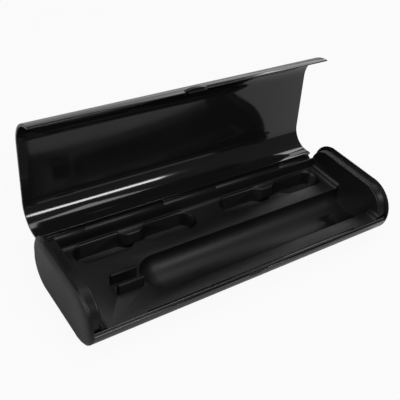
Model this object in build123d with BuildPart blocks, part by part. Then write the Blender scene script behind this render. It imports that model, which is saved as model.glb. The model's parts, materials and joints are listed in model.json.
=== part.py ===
"""Travel case for an electric toothbrush: a lidded, lozenge-section box with a moulded tray.

Millimetres, +Z up. X runs along the case, -Y is its front, and the origin is the middle of
the underside. The lid is drawn in its closed place, on a plane that swings it open.
"""
from build123d import *
from math import cos, radians, sin
import os

os.makedirs("parts", exist_ok=True)

# ---------------------------------------------------------------- driving dimensions
# Overall section: a rectangle with four corner radii
length = 240.0
depth = 80.0
height = 39.8
rear_top_radius = 17.0
rear_bottom_radius = 17.5
front_top_radius = 20.8
front_bottom_radius = 18.6

# Walls and clearances
skin = 1.8                  # lid and base shell
tray_wall = 1.3
frame_wall = 1.8
seat_gap = 0.9              # shells outside the ledges of the frames
ring_wall = 1.1             # frames' ledge rings
base_end_gap = 0.3          # base beside the rims
lid_end_gap = 2.2           # groove between the rims and the closed lid
edge_gap = 0.3              # closed lid above the base
touch_gap = 0.1             # faces that lie against each other

# End frames and covers
rim_width = 2.8             # full-section band at each end
rim_round = 0.35
cover_width = 2.0           # outer part of that band, on the cover
cover_inset = 0.2           # cover's outline inside the frame's
cover_crown = 1.2           # rise of the cover's domed face
cover_crown_width = 5.0     # band along the edge that it rises over
cover_round = 0.9
cover_crown_round = 12.0
cover_lip_length = 2.0
cover_lip_wall = 1.5
ledge_width = 6.6           # step beside the rim that the lid closes on

# Tray
deck_height = 17.8
deck_wall = 1.4
tray_front_gap = 0.3
tray_rear_height = 26.3     # top of the upstand along the hinge side
tray_rear_gap = 4.0         # upstand in front of the case's rear face
tray_rear_lean = 0.9
tray_foot_round = 2.6       # deck into the upstand
tray_end_wall = 1.5
tray_end_round = 0.8        # inner edge along the top of the end walls
tray_end_cove = 4.5         # deck into the end walls
rim_chamfer = 0.5           # around the wells
chamfer_angle = 45.0

# Handle trough
trough_y = -11.8
trough_half_width = 16.2
trough_depth = 13.2
trough_round_x = -54.0      # where the rounded end begins
pocket_width = 10.6         # ramped hollow for a fingertip
pocket_start_x = 86.0
pocket_end_x = 94.8
pocket_depth = 1.3
pocket_wall = 1.1

# Brush-head wells
well_left_x = -53.4
well_right_x = 60.4
well_length = 90.6
well_front_y = 15.6
well_rear_y = 33.0
well_neck_width = 8.8
well_neck_half = 4.6
well_ramp = 5.8
well_depth = 10.2
well_taper = 10.0
well_end_round = 8.0
well_neck_round = 3.5

# Ribs that hold the handle's metal shaft
rib_pitch = 9.8
rib_wall = 2.4
rib_height = 7.3
rib_start_x = -89.8
rib_length = 17.4

# Relief along the tray's front edge, a narrow slot beside the base's tongue
slot_width = 0.9
slot_length = 168.0
slot_middle_x = 3.0

# Hinge
hinge_out = 4.2             # axis behind the rear face
hinge_height = 19.1
barrel_radius = 2.6
rod_radius = 1.0
rod_clearance = 0.05
middle_knuckle = 44.0
lid_knuckle = 60.0
end_knuckle = 31.6
knuckle_gap = 0.4
rod_end_cover = 1.5
stop_reach = 3.5            # block behind the axis that the open lid rests on
stop_gap = 0.25
root_drop = 8.0             # depth of the knuckles' roots on the rear wall
open_angle = 94.3

# Meeting edges of the two shells
base_front_height = 16.6
base_rear_height = 18.0
lid_rear_height = 18.6
tongue_height = 18.5        # inner half of the base's front edge
tongue_wall = 0.75
lap_gap = 0.2

# Latch
latch_width = 14.0
latch_reach = 1.5           # thumb pad in front of the lid
latch_pad_width = 17.0
latch_pad_height = 2.5
latch_tongue = 1.6          # how far it drops below the lid's edge
latch_tongue_wall = 0.8
latch_side_gap = 0.3

# Supports inside the base
gusset_wall = 3.0
gusset_count = 5
gusset_pitch = 48.0
gusset_drop = 3.6
rest_reach = 1.4
pad_width = 3.0
pad_length = 10.0

# Frame screws
screw_radius = 1.45
screw_clearance = 0.05
screw_length = 12.0
screw_head_radius = 2.4
screw_head_height = 1.6
screw_socket_radius = 1.2
screw_socket_depth = 0.8
screw_hole_radius = 1.65
boss_radius = 2.6
boss_length = 12.0
boss_height = 10.05
boss_front_y = -29.95
boss_rear_y = 9.3
boss_web = 2.0

# ---------------------------------------------------------------- places worked out from them
half_length = length / 2
half_depth = depth / 2
rim_face_x = half_length - rim_width
frame_face_x = half_length - cover_width
base_end_x = rim_face_x - base_end_gap
lid_end_x = rim_face_x - lid_end_gap
tray_wall_x = rim_face_x - ledge_width
tray_end_x = tray_wall_x + tray_end_wall
plate_x = tray_end_x + touch_gap
plate_end_x = plate_x + frame_wall
ledge_inset = skin + seat_gap
frame_inset = ledge_inset + ring_wall
base_inner_y = half_depth - skin
tray_wall_inset = ledge_inset + touch_gap
tray_inset = skin + tray_front_gap
tray_front_y = -(half_depth - tray_inset)
tray_rear_y = half_depth - tray_rear_gap
trough_floor = deck_height - trough_depth
well_floor = deck_height - well_depth
tongue_front_y = -(base_inner_y + tongue_wall)
lap_front_y = tongue_front_y - lap_gap
lid_front_height = base_front_height + edge_gap
lap_top = tongue_height + edge_gap
latch_recess_y = -half_depth + latch_tongue_wall + touch_gap
hinge_y = half_depth + hinge_out
rod_hole_radius = rod_radius + rod_clearance
hinge_half = middle_knuckle / 2 + knuckle_gap * 2 + lid_knuckle + end_knuckle
lid_knuckle_x = middle_knuckle / 2 + knuckle_gap + lid_knuckle / 2
end_knuckle_x = hinge_half - end_knuckle / 2
screw_y = (boss_front_y, boss_rear_y)
sides = (("left", -1), ("right", 1))

# The lid's own drawing plane: closed-case coordinates on it land in the open pose
swing = radians(open_angle)
lid_origin_y = hinge_y - hinge_y * cos(swing) - hinge_height * sin(swing)
lid_origin_z = hinge_height + hinge_y * sin(swing) - hinge_height * cos(swing)
lid_plane = Plane((0, lid_origin_y, lid_origin_z), x_dir=(0, cos(swing), -sin(swing)), z_dir=(1, 0, 0))
lid_top_plane = Plane((0, lid_origin_y, lid_origin_z), x_dir=(1, 0, 0), z_dir=(0, sin(swing), cos(swing)))
case_plane = Plane.YZ

# Lowest point of the open lid behind the hinge, where the curve of its rear edge faces down
roll_y = half_depth - rear_top_radius - hinge_y
roll_z = height - rear_top_radius - hinge_height
open_lid_low = hinge_height - roll_y * sin(swing) + roll_z * cos(swing) - rear_top_radius


def case_section(plane, inset=0.0):
    """The case's closed cross-section, drawn inset inside its outer surface."""
    corners = (
        (1, 1, rear_top_radius), (-1, 1, front_top_radius),
        (-1, -1, front_bottom_radius), (1, -1, rear_bottom_radius),
    )
    with BuildSketch(plane) as section:
        with Locations((0, height / 2)):
            Rectangle(depth - 2 * inset, height - 2 * inset)
        for side, level, radius in corners:
            corner = (side * (half_depth - inset), height / 2 + level * (height / 2 - inset))
            nearest = section.vertices().sort_by_distance(corner)[0]
            fillet(nearest, radius - inset)
    return section.sketch


def outline(plane, points):
    """A closed face through points on a plane."""
    with BuildSketch(plane) as face:
        with BuildLine():
            Polyline(*points, close=True)
        make_face()
    return face.sketch


def round_at(plane, y, z, radius):
    """A disc on a cross-section plane."""
    with BuildSketch(plane) as disc:
        with Locations((y, z)):
            Circle(radius)
    return disc.sketch


def well_outline(plane, centre_x, grow=0.0):
    """A brush-head well: two lobes joined by a narrower neck, grown outwards by grow."""
    half = well_length / 2
    middle_y = (well_front_y + well_rear_y) / 2
    half_lobe = (well_rear_y - well_front_y) / 2
    half_neck = well_neck_width / 2
    ramp_x = well_neck_half + well_ramp
    quarter = [(half, half_lobe), (ramp_x, half_lobe), (well_neck_half, half_neck)]
    upper = quarter + [(-x, y) for x, y in reversed(quarter)]
    lower = [(-x, -y) for x, y in upper]
    points = [(centre_x + x, middle_y + y) for x, y in upper + lower]
    with BuildSketch(plane) as well:
        with BuildLine():
            Polyline(*points, close=True)
        make_face()
        ends = [v for v in well.vertices() if abs(v.X - centre_x) > (half + ramp_x) / 2]
        necks = [v for v in well.vertices() if abs(v.X - centre_x) < (half + ramp_x) / 2]
        fillet(ends, well_end_round)
        fillet(necks, well_neck_round)
        if grow:
            offset(amount=grow)
    return well.sketch


# ---------------------------------------------------------------- base shell
with BuildPart() as base_shell:
    base_start = case_plane.offset(-base_end_x)
    extrude(case_section(base_start), amount=2 * base_end_x)
    extrude(case_section(base_start, skin), amount=2 * base_end_x, mode=Mode.SUBTRACT)
    # Open above, with a raised tongue along the inner half of the front edge
    above = height + skin
    front_cut = [
        (-depth, base_front_height), (tongue_front_y, base_front_height), (tongue_front_y, tongue_height),
        (0, tongue_height), (0, above), (-depth, above),
    ]
    rear_cut = [(0, base_rear_height), (depth, base_rear_height), (depth, above), (0, above)]
    for cut in (front_cut, rear_cut):
        extrude(outline(case_plane.offset(-half_length), cut), amount=length, mode=Mode.SUBTRACT)

    # Gussets under the tray's front and rear edges
    rest_height = deck_height - deck_wall
    front_rest = [
        (-base_inner_y - touch_gap, rest_height), (-base_inner_y + rest_reach, rest_height),
        (-base_inner_y - touch_gap, rest_height - gusset_drop),
    ]
    rear_rest = [
        (base_inner_y + touch_gap, rest_height), (base_inner_y - 2 * rest_reach, rest_height),
        (base_inner_y - rest_reach, rest_height - gusset_drop), (base_inner_y, rest_height - gusset_drop),
    ]
    first_gusset = -(gusset_count - 1) / 2 * gusset_pitch
    for index in range(gusset_count):
        gusset_plane = case_plane.offset(first_gusset + index * gusset_pitch - gusset_wall / 2)
        extrude(outline(gusset_plane, front_rest), amount=gusset_wall)
        extrude(outline(gusset_plane, rear_rest), amount=gusset_wall)

    # Pads under the wells and the trough
    lobe_x = (well_length / 2 + well_neck_half + well_ramp) / 2
    well_pads = [
        (well_x + end * lobe_x, well_floor) for well_x in (well_left_x, well_right_x) for end in (-1, 1)
    ]
    trough_pads = [(x, trough_floor) for x in (-gusset_pitch, 0, gusset_pitch)]
    for pads, pad_y in ((well_pads, (well_front_y + well_rear_y) / 2), (trough_pads, trough_y)):
        for pad_x, floor in pads:
            with BuildSketch(Plane.XY.offset(skin / 2)):
                with Locations((pad_x, pad_y)):
                    Rectangle(pad_length, pad_width)
            extrude(amount=floor - tray_wall - touch_gap - skin / 2)

    # Bosses for the frame screws, each on a web from the floor
    for _, side in sides:
        boss_face = case_plane.offset(side * (plate_x - touch_gap))
        for boss_y in screw_y:
            extrude(round_at(boss_face, boss_y, boss_height, boss_radius), amount=-side * boss_length)
            with BuildSketch(boss_face):
                with Locations((boss_y, boss_height / 2)):
                    Rectangle(boss_web, boss_height)
                add(case_section(Plane.XY, skin / 2), mode=Mode.INTERSECT)
            extrude(amount=-side * boss_length)
            pilot = round_at(boss_face, boss_y, boss_height, screw_radius + screw_clearance)
            extrude(pilot, amount=-side * (screw_length - frame_wall), mode=Mode.SUBTRACT)

    # Hinge knuckles, with a block behind each that stops the lid
    stop_top = open_lid_low - stop_gap
    knuckle_root = [
        (base_inner_y, base_rear_height), (base_inner_y, base_rear_height - root_drop),
        (half_depth - skin / 2, base_rear_height - root_drop), (hinge_y + stop_reach, hinge_height),
        (hinge_y + stop_reach, stop_top), (hinge_y, stop_top), (hinge_y, base_rear_height),
    ]
    knuckles = [(0, middle_knuckle), (-end_knuckle_x, end_knuckle), (end_knuckle_x, end_knuckle)]
    for knuckle_x, knuckle_length in knuckles:
        knuckle_plane = case_plane.offset(knuckle_x - knuckle_length / 2)
        extrude(round_at(knuckle_plane, hinge_y, hinge_height, barrel_radius), amount=knuckle_length)
        extrude(outline(knuckle_plane, knuckle_root), amount=knuckle_length)
    bore_half = hinge_half - rod_end_cover
    bore = round_at(case_plane.offset(-bore_half), hinge_y, hinge_height, rod_hole_radius)
    extrude(bore, amount=2 * bore_half, mode=Mode.SUBTRACT)

    # Recess that the latch's tongue drops into
    recess_width = latch_width + 2 * latch_side_gap
    recess_floor = lid_front_height - latch_tongue - edge_gap
    recess = [
        (-half_depth - skin, base_front_height + skin), (latch_recess_y, base_front_height + skin),
        (latch_recess_y, recess_floor), (-half_depth - skin, recess_floor),
    ]
    extrude(outline(case_plane.offset(-recess_width / 2), recess), amount=recess_width, mode=Mode.SUBTRACT)


# ---------------------------------------------------------------- tray insert
with BuildPart() as tray_insert:
    deck_low = deck_height - deck_wall
    # End walls, up to the level of the frames' ledges, rounded along their inner edges
    for _, side in sides:
        wall_plane = case_plane.offset(side * tray_end_x)
        extrude(case_section(wall_plane, tray_wall_inset), amount=-side * tray_end_wall)
    inner_faces = tray_insert.faces().filter_by(Axis.X).sort_by(Axis.X)[1:3]
    fillet(inner_faces.edges(), tray_end_round)
    below = [(-depth, -skin), (depth, -skin), (depth, deck_low), (-depth, deck_low)]
    extrude(outline(case_plane.offset(-half_length), below), amount=length, mode=Mode.SUBTRACT)

    # Deck, with the upstand along its rear edge
    upstand_foot = (tray_rear_y - tray_wall - tray_rear_lean, deck_height)
    with BuildSketch(case_plane.offset(-tray_end_x)) as deck:
        with BuildLine():
            Polyline(
                (tray_front_y, deck_low), (tray_rear_y, deck_low), (tray_rear_y, tray_rear_height),
                (tray_rear_y - tray_wall, tray_rear_height), upstand_foot, (tray_front_y, deck_height),
                close=True)
        make_face()
        fillet(deck.vertices().sort_by_distance(upstand_foot)[0], tray_foot_round)
    extrude(amount=2 * tray_end_x)

    # Coves from the deck into the end walls
    cove_foot_x = tray_wall_x - tray_end_cove
    cove_top = deck_height + tray_end_cove
    for _, side in sides:
        with BuildSketch(Plane.XZ.offset(-tray_rear_y)):
            with BuildLine():
                foot = (side * cove_foot_x, deck_height)
                top = (side * tray_wall_x, cove_top)
                RadiusArc(foot, top, -side * tray_end_cove)
                wall_corners = ((side * tray_end_x, cove_top), (side * tray_end_x, deck_low))
                Polyline(top, *wall_corners, (side * cove_foot_x, deck_low), foot)
            make_face()
        extrude(amount=tray_rear_y - tray_front_y)
    inside = case_section(case_plane.offset(-tray_end_x), tray_inset)
    extrude(inside, amount=2 * tray_end_x, mode=Mode.INTERSECT)

    # Undersides of the wells, the fingertip hollow and the trough
    hollow_low = trough_floor - pocket_depth - pocket_wall
    hollow_far_x = pocket_end_x + pocket_depth + pocket_wall
    under_hollow = [
        (pocket_start_x, trough_floor), (pocket_start_x, trough_floor - tray_wall),
        (pocket_end_x, hollow_low), (hollow_far_x, hollow_low), (hollow_far_x, trough_floor),
    ]
    hollow_width = pocket_width + 2 * pocket_wall
    extrude(outline(Plane.XZ.offset(-trough_y - hollow_width / 2), under_hollow), amount=hollow_width)
    for well_x in (well_left_x, well_right_x):
        extrude(well_outline(Plane.XY.offset(deck_height), well_x, tray_wall),
                amount=-(well_depth + tray_wall), taper=well_taper)
    for grow, mode in ((tray_wall, Mode.ADD), (0.0, Mode.SUBTRACT)):
        end_x = tray_end_x if mode == Mode.ADD else tray_wall_x
        half_width = trough_half_width + grow
        low = trough_floor - grow
        # The channel, half an ellipse in section
        with BuildSketch(case_plane.offset(trough_round_x)):
            with BuildLine():
                EllipticalCenterArc(
                    (trough_y, deck_height), half_width, deck_height - low, start_angle=180, arc_size=180)
                Line((trough_y + half_width, deck_height), (trough_y - half_width, deck_height))
            make_face()
        extrude(amount=end_x - trough_round_x, mode=mode)
        # Its rounded end, half of the same curve swung about a vertical axis
        with BuildSketch(case_plane.offset(trough_round_x)):
            with BuildLine():
                EllipticalCenterArc(
                    (trough_y, deck_height), half_width, deck_height - low, start_angle=270, arc_size=90)
                Polyline((trough_y + half_width, deck_height), (trough_y, deck_height), (trough_y, low))
            make_face()
        revolve(axis=Axis((trough_round_x, trough_y, 0), (0, 0, 1)), revolution_arc=180, mode=mode)
    deck_plane = Plane.XY.offset(deck_height)
    for well_x in (well_left_x, well_right_x):
        extrude(well_outline(deck_plane, well_x), amount=-well_depth, taper=well_taper, mode=Mode.SUBTRACT)
        rim = well_outline(deck_plane, well_x, rim_chamfer)
        extrude(rim, amount=-rim_chamfer, taper=chamfer_angle, mode=Mode.SUBTRACT)
        extrude(rim, amount=tray_foot_round, mode=Mode.SUBTRACT)

    # The trough's mouth through the cove at the right-hand wall
    with BuildSketch(deck_plane):
        with Locations((tray_wall_x - tray_end_cove / 2, trough_y)):
            Rectangle(tray_end_cove, 2 * trough_half_width)
    extrude(amount=tray_end_cove, mode=Mode.SUBTRACT)

    # Ramped fingertip hollow in the trough's floor
    pocket = [
        (pocket_start_x, trough_floor + pocket_depth), (pocket_start_x, trough_floor),
        (pocket_end_x, trough_floor - pocket_depth),
        (pocket_end_x + 2 * pocket_depth, trough_floor + pocket_depth),
    ]
    extrude(outline(Plane.XZ.offset(-trough_y - pocket_width / 2), pocket), amount=pocket_width,
            mode=Mode.SUBTRACT)

    # Ribs beside the handle's shaft
    for side in (-1, 1):
        with BuildSketch(Plane.XY.offset(deck_height)):
            with Locations((rib_start_x + rib_length / 2, trough_y + side * rib_pitch / 2)):
                Rectangle(rib_length, rib_wall)
        extrude(amount=rib_height)

    # Slot beside the base's tongue
    with BuildSketch(Plane.XY.offset(deck_height)):
        with Locations((slot_middle_x, tray_front_y)):
            Rectangle(slot_length, 2 * slot_width)
    extrude(amount=-deck_wall, mode=Mode.SUBTRACT)


# ---------------------------------------------------------------- end frames, covers and their screws
end_frames = {}
end_covers = {}
frame_screws = {}
for name, side in sides:
    with BuildPart() as frame:
        # Ledge ring under the shells, then the inner half of the rim
        plate_plane = case_plane.offset(side * plate_x)
        extrude(case_section(plate_plane, ledge_inset), amount=side * (rim_face_x - plate_x))
        extrude(case_section(case_plane.offset(side * rim_face_x)), amount=side * (rim_width - cover_width))
        fillet(frame.faces().sort_by(Axis.X)[-1 if side > 0 else 0].edges(), rim_round)
        hollow = case_section(case_plane.offset(side * plate_end_x), frame_inset)
        extrude(hollow, amount=side * (frame_face_x - plate_end_x), mode=Mode.SUBTRACT)
        for hole_y in screw_y:
            hole = round_at(plate_plane, hole_y, boss_height, screw_hole_radius)
            extrude(hole, amount=side * frame_wall, mode=Mode.SUBTRACT)
    frame.part.label = f"{name}_end_frame"
    end_frames[name] = frame

    with BuildPart() as cover:
        # Domed end face, and a lip behind it that fits inside the frame's ring
        face_plane = case_plane.offset(side * frame_face_x)
        extrude(case_section(face_plane, cover_inset), amount=side * cover_width)
        crown_face = cover.faces().sort_by(Axis.X)[-1 if side > 0 else 0]
        chamfer(crown_face.edges(), cover_crown_width, cover_crown, reference=crown_face)
        crown_edges = cover.faces().sort_by(Axis.X)[-1 if side > 0 else 0].edges()
        fillet(crown_edges, cover_crown_round)
        shoulder_x = side * (half_length - cover_crown)
        shoulder_edges = cover.edges().filter_by_position(
            Axis.X, shoulder_x - touch_gap, shoulder_x + touch_gap)
        fillet(shoulder_edges, cover_round)
        lip_inset = frame_inset + touch_gap
        extrude(case_section(face_plane, lip_inset), amount=-side * cover_lip_length)
        lip_hollow = case_section(face_plane, lip_inset + cover_lip_wall)
        extrude(lip_hollow, amount=-side * cover_lip_length, mode=Mode.SUBTRACT)
    cover.part.label = f"{name}_end_cover"
    end_covers[name] = cover

    with BuildPart() as screws:
        head_plane = case_plane.offset(side * plate_end_x)
        socket_plane = case_plane.offset(side * (plate_end_x + screw_head_height))
        shank = screw_length - edge_gap
        for hole_y in screw_y:
            head = round_at(head_plane, hole_y, boss_height, screw_head_radius)
            extrude(head, amount=side * screw_head_height)
            extrude(round_at(head_plane, hole_y, boss_height, screw_radius), amount=-side * shank)
            with BuildSketch(socket_plane):
                with Locations((hole_y, boss_height)):
                    RegularPolygon(screw_socket_radius, 6)
            extrude(amount=-side * screw_socket_depth, mode=Mode.SUBTRACT)
    screws.part.label = f"{name}_frame_screws"
    frame_screws[name] = screws


# ---------------------------------------------------------------- hinge rod
with BuildPart() as hinge_rod:
    rod_half = hinge_half - rod_end_cover - touch_gap
    extrude(round_at(case_plane.offset(-rod_half), hinge_y, hinge_height, rod_radius), amount=2 * rod_half)


# ---------------------------------------------------------------- lid shell
with BuildPart() as lid_shell:
    lid_start = lid_plane.offset(-lid_end_x)
    extrude(case_section(lid_start), amount=2 * lid_end_x)
    extrude(case_section(lid_start, skin), amount=2 * lid_end_x, mode=Mode.SUBTRACT)
    # Open below; the front edge laps over the base's tongue
    front_under = [
        (-depth, -skin), (0, -skin), (0, lap_top), (lap_front_y, lap_top),
        (lap_front_y, lid_front_height), (-depth, lid_front_height),
    ]
    rear_under = [(0, -skin), (depth, -skin), (depth, lid_rear_height), (0, lid_rear_height)]
    for cut in (front_under, rear_under):
        extrude(outline(lid_plane.offset(-half_length), cut), amount=length, mode=Mode.SUBTRACT)

    # Hinge knuckles between the base's
    root_back_y = hinge_y + barrel_radius / 2
    lid_root = [
        (base_inner_y, lid_rear_height), (hinge_y, hinge_height), (root_back_y, hinge_height),
        (root_back_y, hinge_height + barrel_radius), (half_depth - skin / 2, hinge_height + root_drop),
    ]
    for side in (-1, 1):
        knuckle_plane = lid_plane.offset(side * lid_knuckle_x - lid_knuckle / 2)
        extrude(round_at(knuckle_plane, hinge_y, hinge_height, barrel_radius), amount=lid_knuckle)
        extrude(outline(knuckle_plane, lid_root), amount=lid_knuckle)
        bore = round_at(knuckle_plane, hinge_y, hinge_height, rod_hole_radius)
        extrude(bore, amount=lid_knuckle, mode=Mode.SUBTRACT)

    # Notch for the latch
    notch_top = lid_front_height + latch_pad_height + touch_gap
    notch = [(-depth, -skin), (0, -skin), (0, notch_top), (-depth, notch_top)]
    notch_width = latch_width + 2 * touch_gap
    extrude(outline(lid_plane.offset(-notch_width / 2), notch), amount=notch_width, mode=Mode.SUBTRACT)


# ---------------------------------------------------------------- latch tab
with BuildPart() as latch_tab:
    stem_top = lid_front_height + latch_pad_height
    stem_low = lid_front_height - latch_tongue
    stem_back = -half_depth + latch_tongue_wall
    stem_inner_y = -base_inner_y - touch_gap
    pad_back_y = -half_depth - touch_gap
    stem = [
        (stem_back, stem_low), (stem_back, lap_top), (stem_inner_y, lap_top),
        (stem_inner_y, stem_top), (pad_back_y, stem_top), (pad_back_y, stem_low),
    ]
    extrude(outline(lid_plane.offset(-latch_width / 2), stem), amount=latch_width)
    # Thumb pad, a shallow arc in plan
    pad_left = (-latch_pad_width / 2, pad_back_y)
    pad_right = (latch_pad_width / 2, pad_back_y)
    with BuildSketch(lid_top_plane.offset(lid_front_height)):
        with BuildLine():
            ThreePointArc(pad_left, (0, -half_depth - latch_reach), pad_right)
            Line(pad_left, pad_right)
        make_face()
    extrude(amount=latch_pad_height)


# ---------------------------------------------------------------- labels and files
pieces = {
    "base_shell": base_shell, "tray_insert": tray_insert, "hinge_rod": hinge_rod,
    "lid_shell": lid_shell, "latch_tab": latch_tab,
}
for name, _ in sides:
    pieces[f"{name}_end_frame"] = end_frames[name]
    pieces[f"{name}_end_cover"] = end_covers[name]
    pieces[f"{name}_frame_screws"] = frame_screws[name]
for label, piece in pieces.items():
    piece.part.label = label
    export_step(piece.part, f"parts/{label}.step")
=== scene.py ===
# %% [markdown]
# # A hard travel case for an electric toothbrush
#
# The case is a long box with soft corners. A moulded tray fills the lower half, a glossy lid
# turns on a steel rod along the rear edge, and a cap closes each end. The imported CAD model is
# loaded as a fixed frame. It already has the true shapes and sizes, so this script mostly
# gives the surfaces their finish and softens the edges that a mould would leave soft.

# %% Load the frame
import bpy
import json
import math
from mathutils import Matrix, Vector

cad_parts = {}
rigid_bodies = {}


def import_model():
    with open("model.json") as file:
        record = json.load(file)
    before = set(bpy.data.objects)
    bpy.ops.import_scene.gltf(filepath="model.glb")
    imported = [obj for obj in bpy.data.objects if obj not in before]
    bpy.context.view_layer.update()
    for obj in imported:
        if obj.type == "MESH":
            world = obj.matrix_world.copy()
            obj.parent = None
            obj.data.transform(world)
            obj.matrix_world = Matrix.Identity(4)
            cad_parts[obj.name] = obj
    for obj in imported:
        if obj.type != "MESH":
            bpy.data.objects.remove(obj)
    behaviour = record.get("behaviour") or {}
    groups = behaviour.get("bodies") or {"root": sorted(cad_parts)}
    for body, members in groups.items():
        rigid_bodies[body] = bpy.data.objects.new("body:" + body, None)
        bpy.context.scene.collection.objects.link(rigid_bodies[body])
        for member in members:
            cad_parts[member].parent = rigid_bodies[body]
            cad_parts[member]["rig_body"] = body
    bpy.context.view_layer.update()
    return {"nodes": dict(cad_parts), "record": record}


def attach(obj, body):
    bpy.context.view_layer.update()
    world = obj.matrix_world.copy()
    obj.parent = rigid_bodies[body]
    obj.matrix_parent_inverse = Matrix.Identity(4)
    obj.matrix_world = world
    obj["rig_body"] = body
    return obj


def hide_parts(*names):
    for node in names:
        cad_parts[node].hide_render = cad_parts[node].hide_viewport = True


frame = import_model()
nodes = frame["nodes"]

# %% [markdown]
# ## Shared surface effects
#
# Moulded plastic isn't perfectly even. A fine texture from the mould scatters the light, and a
# slow waviness, where the wall cooled unevenly, bends long reflections. Handling adds faint
# smudges that change the gloss. Each effect is a node group with its own inputs, built once,
# and every material places it with its own values. The inputs called sizes feed the noise
# texture's Scale, so a higher number gives a finer pattern.

# %% A helper that starts a node group
def start_group(name, inputs, outputs):
    """A shader node group with named number sockets; vectors are marked by a None value."""
    group = bpy.data.node_groups.new(name, "ShaderNodeTree")
    for label, value in inputs:
        kind = "NodeSocketVector" if value is None else "NodeSocketFloat"
        socket = group.interface.new_socket(name=label, in_out="INPUT", socket_type=kind)
        if value is not None:
            socket.default_value = value
    for label, kind in outputs:
        group.interface.new_socket(name=label, in_out="OUTPUT", socket_type=kind)
    entry = group.nodes.new("NodeGroupInput")
    leave = group.nodes.new("NodeGroupOutput")
    return group, entry, leave


# %% Moulded surface: slow waves and a fine grain, as one height
wave_detail = 1.0
grain_detail = 2.0


def make_moulding():
    group, entry, leave = start_group(
        "moulded surface",
        [
            ("Place", None),
            ("Wave Size", 30.0),
            ("Wave Depth", 0.5),
            ("Grain Size", 2500.0),
            ("Grain Depth", 0.1),
        ],
        [("Height", "NodeSocketFloat")],
    )
    link = group.links.new
    waves = group.nodes.new("ShaderNodeTexNoise")
    waves.inputs["Detail"].default_value = wave_detail
    grain = group.nodes.new("ShaderNodeTexNoise")
    grain.inputs["Detail"].default_value = grain_detail
    for texture, size in ((waves, "Wave Size"), (grain, "Grain Size")):
        link(entry.outputs["Place"], texture.inputs["Vector"])
        link(entry.outputs[size], texture.inputs["Scale"])
    deep_waves = group.nodes.new("ShaderNodeMath")
    deep_waves.operation = "MULTIPLY"
    link(waves.outputs["Fac"], deep_waves.inputs[0])
    link(entry.outputs["Wave Depth"], deep_waves.inputs[1])
    both = group.nodes.new("ShaderNodeMath")
    both.operation = "MULTIPLY_ADD"
    link(grain.outputs["Fac"], both.inputs[0])
    link(entry.outputs["Grain Depth"], both.inputs[1])
    link(deep_waves.outputs["Value"], both.inputs[2])
    link(both.outputs["Value"], leave.inputs["Height"])
    return group


moulding = make_moulding()
print("group", moulding.name)


# %% Handling: a soft patchy roughness
patch_detail = 4.0
patch_roughness = 0.6
patch_low, patch_high = 0.35, 0.65


def make_handling():
    group, entry, leave = start_group(
        "handling marks",
        [("Place", None), ("Patch Size", 25.0), ("Least", 0.1), ("Most", 0.2)],
        [("Roughness", "NodeSocketFloat")],
    )
    link = group.links.new
    patches = group.nodes.new("ShaderNodeTexNoise")
    patches.inputs["Detail"].default_value = patch_detail
    patches.inputs["Roughness"].default_value = patch_roughness
    # Noise seldom nears 0 or 1, so its middle is spread over the whole range of roughness
    spread = group.nodes.new("ShaderNodeMapRange")
    spread.inputs["From Min"].default_value = patch_low
    spread.inputs["From Max"].default_value = patch_high
    link(entry.outputs["Place"], patches.inputs["Vector"])
    link(entry.outputs["Patch Size"], patches.inputs["Scale"])
    link(patches.outputs["Fac"], spread.inputs["Value"])
    link(entry.outputs["Least"], spread.inputs["To Min"])
    link(entry.outputs["Most"], spread.inputs["To Max"])
    link(spread.outputs["Result"], leave.inputs["Roughness"])
    return group


handling = make_handling()
print("group", handling.name)


# %% [markdown]
# ## Finishes
#
# The two shells are polished black plastic, so they mirror what stands around the case. The
# tray, the caps and the thumb tab have the satin finish of a lightly blasted mould, and their
# specular level is low, which keeps broad light from turning them grey. The rod is drawn
# steel and the screws are zinc plated.

# %% A helper that builds one finish from the shared effects
relief_depth = 0.0001


def finish_material(name, color, least_rough, most_rough, wave_size, wave_depth,
                    grain_size, grain_depth, metallic=0.0, ior=1.5, specular=0.5):
    material = bpy.data.materials.new(name)
    material.use_nodes = True
    tree = material.node_tree
    surface = tree.nodes["Principled BSDF"]
    surface.inputs["Base Color"].default_value = (*color, 1.0)
    surface.inputs["Metallic"].default_value = metallic
    surface.inputs["IOR"].default_value = ior
    surface.inputs["Specular IOR Level"].default_value = specular
    place = tree.nodes.new("ShaderNodeTexCoord")
    marks = tree.nodes.new("ShaderNodeGroup")
    marks.node_tree = handling
    marks.inputs["Least"].default_value = least_rough
    marks.inputs["Most"].default_value = most_rough
    relief = tree.nodes.new("ShaderNodeGroup")
    relief.node_tree = moulding
    relief.inputs["Wave Size"].default_value = wave_size
    relief.inputs["Wave Depth"].default_value = wave_depth
    relief.inputs["Grain Size"].default_value = grain_size
    relief.inputs["Grain Depth"].default_value = grain_depth
    bump = tree.nodes.new("ShaderNodeBump")
    bump.inputs["Distance"].default_value = relief_depth
    link = tree.links.new
    link(place.outputs["Object"], marks.inputs["Place"])
    link(place.outputs["Object"], relief.inputs["Place"])
    link(marks.outputs["Roughness"], surface.inputs["Roughness"])
    link(relief.outputs["Height"], bump.inputs["Height"])
    link(bump.outputs["Normal"], surface.inputs["Normal"])
    return material


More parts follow.
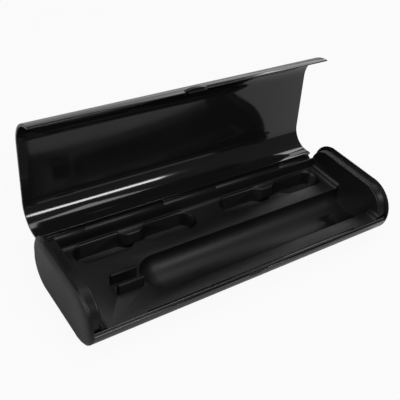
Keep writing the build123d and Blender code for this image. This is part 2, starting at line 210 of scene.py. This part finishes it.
# %% Build the five finishes
finish_values = {
    "gloss_black": dict(
        color=(0.007, 0.007, 0.0072), least_rough=0.08, most_rough=0.12, wave_size=28,
        wave_depth=0.6, grain_size=1800, grain_depth=0.0, ior=1.55),
    "satin_black": dict(
        color=(0.003, 0.003, 0.0032), least_rough=0.34, most_rough=0.42, wave_size=30,
        wave_depth=0.4, grain_size=3500, grain_depth=0.15, specular=0.29),
    "tray_black": dict(
        color=(0.003, 0.003, 0.0032), least_rough=0.38, most_rough=0.48, wave_size=30,
        wave_depth=0.4, grain_size=3500, grain_depth=0.2, specular=0.29),
    "rod_steel": dict(
        color=(0.6, 0.6, 0.62), least_rough=0.2, most_rough=0.3, wave_size=30,
        wave_depth=0.0, grain_size=3000, grain_depth=0.1, metallic=1.0),
    "screw_steel": dict(
        color=(0.5, 0.5, 0.52), least_rough=0.25, most_rough=0.4, wave_size=30,
        wave_depth=0.0, grain_size=3000, grain_depth=0.1, metallic=1.0),
}
finishes = {slot: finish_material(slot, **values) for slot, values in finish_values.items()}
print("finishes", list(finishes))

# %% [markdown]
# ## Put the finishes on the CAD nodes
#
# The record says which finish each node takes, so the script reads it there and gives every
# node the material of that name.

# %% Put the finishes on the CAD nodes
slot_of = {part["node"]: part["material_slot"] for part in frame["record"]["subparts"]}
for name, node in nodes.items():
    node.data.materials.clear()
    node.data.materials.append(finishes[slot_of[name]])
print("finished", len(slot_of), "nodes")

# %% [markdown]
# ## Soft edges
#
# No moulded edge is razor sharp. The mould leaves a small radius, and that radius catches a thin
# line of light all along the part. A CAD mesh has none, and it comes as loose triangles, so a
# copy of it is merged, its flat areas are joined back into single faces, and a Bevel modifier
# rounds each edge that is sharper than a curve's own steps. The copy then stands for the node.
# The thumb tab keeps its CAD shape, because it shuts within a tenth of a millimetre of the
# base, which leaves no room for a changed edge.

# %% A helper that copies a node's mesh for reshaping
def copy_node(name, ending):
    """A copy of a CAD node, selected alone and active, so that operators act on it."""
    piece = bpy.data.objects.new(f"{name}_{ending}", nodes[name].data.copy())
    bpy.context.collection.objects.link(piece)
    bpy.ops.object.select_all(action="DESELECT")
    piece.select_set(True)
    bpy.context.view_layer.objects.active = piece
    return piece


# %% A helper that makes the softened copy
merge_distance = 0.000002
flat_angle = math.radians(0.4)
sharp_angle = math.radians(32)
edge_steps = 2


def soften(name, radius):
    node = nodes[name]
    piece = copy_node(name, "moulded")
    bpy.ops.object.mode_set(mode="EDIT")
    bpy.ops.mesh.select_all(action="SELECT")
    bpy.ops.mesh.remove_doubles(threshold=merge_distance)
    bpy.ops.mesh.dissolve_limited(angle_limit=flat_angle)
    bpy.ops.object.mode_set(mode="OBJECT")
    rounding = piece.modifiers.new("rounding", "BEVEL")
    rounding.width = radius
    rounding.segments = edge_steps
    rounding.limit_method = "ANGLE"
    rounding.angle_limit = sharp_angle
    rounding.use_clamp_overlap = True
    bpy.ops.object.modifier_apply(modifier=rounding.name)
    bpy.ops.object.shade_smooth_by_angle(angle=sharp_angle)
    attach(piece, node["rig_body"])
    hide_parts(name)
    return piece


# %% [markdown]
# ## Satin knuckles
#
# The hinge knuckles aren't polished with the rest of the shells, so they keep a satin surface.
# They are part of the shells' meshes: the faces close to the hinge axis are found by their
# distance from it, and take a second material.

# %% A helper that gives the knuckles their satin finish
hinge_axis_y, hinge_axis_z = 0.0442, 0.0191
knuckle_reach = 0.0031
hinged_shells = ("base_shell", "lid_shell")


def finish_knuckles(piece):
    piece.data.materials.append(finishes["satin_black"])
    count = 0
    for face in piece.data.polygons:
        away = math.hypot(face.center.y - hinge_axis_y, face.center.z - hinge_axis_z)
        if away < knuckle_reach:
            face.material_index = 1
            count += 1
    print(piece.name, count, "satin faces")


# %% Soften the moulded parts
shell_edge = 0.00018
inner_edge = 0.0002
edge_radius = {
    "base_shell": shell_edge,
    "lid_shell": shell_edge,
    "tray_insert": inner_edge,
    "left_end_frame": inner_edge,
    "right_end_frame": inner_edge,
}
for name, radius in edge_radius.items():
    piece = soften(name, radius)
    print(piece.name, len(piece.data.polygons), "faces")
    if name in hinged_shells:
        finish_knuckles(piece)

# %% [markdown]
# ## Domed end covers
#
# Each cover swells from its rim into a flat face, like the lid of a soap tin. In the CAD model
# that swell is a low bevel with rounded edges. Here it is a true quarter ellipse. A plane cuts
# the outer part off a copy of the cover, and one face fills the open outline. That face is
# extruded and drawn in again and again, each time rising a little less. The first ring doesn't
# rise: it only draws in, which leaves a narrow step round the cover.

# %% A helper that domes a cover
dome_width = 0.0062
dome_rings = 10
outline_x = 0.1182
outline_step = 0.0003
parting_inset = 0.0004
half_depth, half_height = 0.04, 0.0199


def dome_cover(name, side):
    node = nodes[name]
    piece = copy_node(name, "domed")
    end_x = max(side * vertex.co.x for vertex in piece.data.vertices)
    cut_place = (side * outline_x, 0, 0)
    bpy.ops.object.mode_set(mode="EDIT")
    bpy.ops.mesh.select_all(action="SELECT")
    bpy.ops.mesh.remove_doubles(threshold=merge_distance)
    bpy.ops.mesh.bisect(plane_co=cut_place, plane_no=(side, 0, 0), clear_outer=True)
    bpy.ops.mesh.remove_doubles(threshold=outline_step)
    bpy.ops.mesh.edge_face_add()
    rise = end_x - outline_x
    inset_done = -parting_inset
    risen = 0.0
    for ring in range(dome_rings + 1):
        turn = math.pi / 2 * ring / dome_rings
        inset = dome_width * (1 - math.cos(turn))
        up = rise * math.sin(turn)
        step = (side * (up - risen), 0, 0)
        bpy.ops.mesh.extrude_region_move(TRANSFORM_OT_translate={"value": step})
        shrink = [(half - inset) / (half - inset_done) for half in (half_depth, half_height)]
        ring_middle = (side * (outline_x + up), 0, half_height)
        bpy.ops.transform.resize(value=(1, *shrink), center_override=ring_middle)
        inset_done, risen = inset, up
    bpy.ops.object.mode_set(mode="OBJECT")
    bpy.ops.object.shade_smooth_by_angle(angle=sharp_angle)
    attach(piece, node["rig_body"])
    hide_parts(name)
    return piece


# %% Dome both covers
for name, side in (("left_end_cover", -1), ("right_end_cover", 1)):
    piece = dome_cover(name, side)
    far = max(side * vertex.co.x for vertex in piece.data.vertices)
    print(piece.name, len(piece.data.polygons), "faces, end at", round(far, 5))

# %% [markdown]
# ## Floor, backdrop and room
#
# The case stands on a grey floor in front of a backdrop, in a dim room. A polished black part
# shows little of its own colour: what is seen on it is what it mirrors. So the backdrop shines
# white in reflections, and the floor adds only a little glow there. Towards the camera the
# floor is nearly white, and the backdrop and the room are white, which keeps the case's
# outline clear. Only the camera and reflections see this glow, so it doesn't light the case's
# own colour.

# %% A helper for the surfaces around the case
def make_surround(name, grey, to_camera, to_mirrors):
    """A matte grey that glows white by the given shares, to the camera and in reflections."""
    material = bpy.data.materials.new(name)
    material.use_nodes = True
    tree = material.node_tree
    link = tree.links.new
    matte = tree.nodes["Principled BSDF"]
    matte.inputs["Base Color"].default_value = (grey, grey, grey, 1)
    matte.inputs["Roughness"].default_value = 1.0
    matte.inputs["Specular IOR Level"].default_value = 0.0
    glow = tree.nodes.new("ShaderNodeEmission")
    path = tree.nodes.new("ShaderNodeLightPath")
    share = tree.nodes.new("ShaderNodeMath")
    share.operation = "MAXIMUM"
    rays = (("Is Camera Ray", to_camera), ("Is Glossy Ray", to_mirrors))
    for socket, (ray, level) in zip(share.inputs, rays):
        ray_share = tree.nodes.new("ShaderNodeMath")
        ray_share.operation = "MULTIPLY"
        ray_share.inputs[1].default_value = level
        link(path.outputs[ray], ray_share.inputs[0])
        link(ray_share.outputs["Value"], socket)
    mix = tree.nodes.new("ShaderNodeMixShader")
    link(share.outputs["Value"], mix.inputs["Fac"])
    link(matte.outputs["BSDF"], mix.inputs[1])
    link(glow.outputs["Emission"], mix.inputs[2])
    link(mix.outputs["Shader"], tree.nodes["Material Output"].inputs["Surface"])
    return material


# %% Floor and backdrop
floor_size = 6.0
floor_finish = make_surround("pale floor", grey=0.45, to_camera=0.93, to_mirrors=0.09)
bpy.ops.object.select_all(action="DESELECT")
bpy.ops.mesh.primitive_plane_add(size=floor_size, location=(0, 0, 0))
floor = bpy.context.object
floor.name = "floor"
floor.data.materials.append(floor_finish)

backdrop_place = (0.6, 1.7, 0.5)
backdrop_width, backdrop_height = 3.6, 1.0
upright = (math.pi / 2, 0, 0)
backdrop_finish = make_surround("white backdrop", grey=0.6, to_camera=1.0, to_mirrors=1.0)
bpy.ops.mesh.primitive_plane_add(size=1, location=backdrop_place, rotation=upright)
backdrop = bpy.context.object
backdrop.name = "backdrop"
backdrop.scale = (backdrop_width, backdrop_height, 1.0)
backdrop.data.materials.append(backdrop_finish)
print("stage", floor.name, backdrop.name)

# %% Room
room_level = 0.105
world = bpy.data.worlds.new("dim room")
bpy.context.scene.world = world
world.use_nodes = True
tree = world.node_tree
room = tree.nodes["Background"]
room.inputs["Color"].default_value = (room_level, room_level, room_level, 1)
shown = tree.nodes.new("ShaderNodeBackground")
shown.inputs["Color"].default_value = (1, 1, 1, 1)
path = tree.nodes.new("ShaderNodeLightPath")
mix = tree.nodes.new("ShaderNodeMixShader")
tree.links.new(path.outputs["Is Camera Ray"], mix.inputs["Fac"])
tree.links.new(room.outputs["Background"], mix.inputs[1])
tree.links.new(shown.outputs["Background"], mix.inputs[2])
tree.links.new(mix.outputs["Shader"], tree.nodes["World Output"].inputs["Surface"])
print("room level", room_level)

# %% [markdown]
# ## Lamps
#
# Four rectangular lamps are turned to the middle of the case. The front strip is wide and thin,
# so it draws a narrow streak on gloss. A square softbox hangs above, and a smaller one stands
# behind on the right. A low strip on the left reaches the left cap. With the room, they light
# a grey card to about the grey that it really has.

# %% Lamps
def add_softbox(name, place, target, width, height, watts):
    """A rectangular lamp at a place, turned to face a target."""
    bpy.ops.object.light_add(type="AREA", location=place)
    lamp = bpy.context.object
    lamp.name = name
    lamp.data.shape = "RECTANGLE"
    lamp.data.size = width
    lamp.data.size_y = height
    lamp.data.energy = watts
    aim = Vector(target) - Vector(place)
    lamp.rotation_euler = aim.to_track_quat("-Z", "Y").to_euler()


case_middle = (0, 0, 0.03)
add_softbox("front strip", (0.2, -1.2, 1.2), case_middle, width=1.1, height=0.26, watts=14)
add_softbox("top softbox", (0.1, 0.1, 1.4), case_middle, width=0.9, height=0.9, watts=7.9)
add_softbox("rear softbox", (1.2, 0.9, 1.0), case_middle, width=0.8, height=0.8, watts=5.2)
add_softbox("left softbox", (-1.4, 0.0, 0.35), case_middle, width=0.9, height=0.25, watts=8.8)

# %% [markdown]
# ## Camera
#
# The camera stands to the front left of the case and looks down on it. A Blender camera looks
# along its own -Z, so its turn is given by three directions: its right, its up, and its back,
# which points away from what it sees. As the columns of a matrix they make the rotation.

# %% Camera
camera_place = Vector((-0.23332, -0.26726, 0.31017))
camera_right = Vector((0.8274, -0.5526, 0.1000))
camera_up = Vector((0.2697, 0.5473, 0.7923))
camera_back = Vector((-0.4925, -0.6286, 0.6018))
camera_lens = 60.935
camera_sensor = 36.0
camera_shift = 0.0015
nearest_seen = 0.01
bpy.ops.object.camera_add(location=camera_place)
camera = bpy.context.object
turn = Matrix((camera_right, camera_up, camera_back)).transposed()
camera.rotation_euler = turn.to_euler()
camera.data.sensor_width = camera_sensor
camera.data.lens = camera_lens
camera.data.clip_start = nearest_seen
camera.data.shift_y = camera_shift
bpy.context.scene.camera = camera
bpy.context.scene.view_settings.view_transform = "Standard"
print("camera lens", camera_lens)
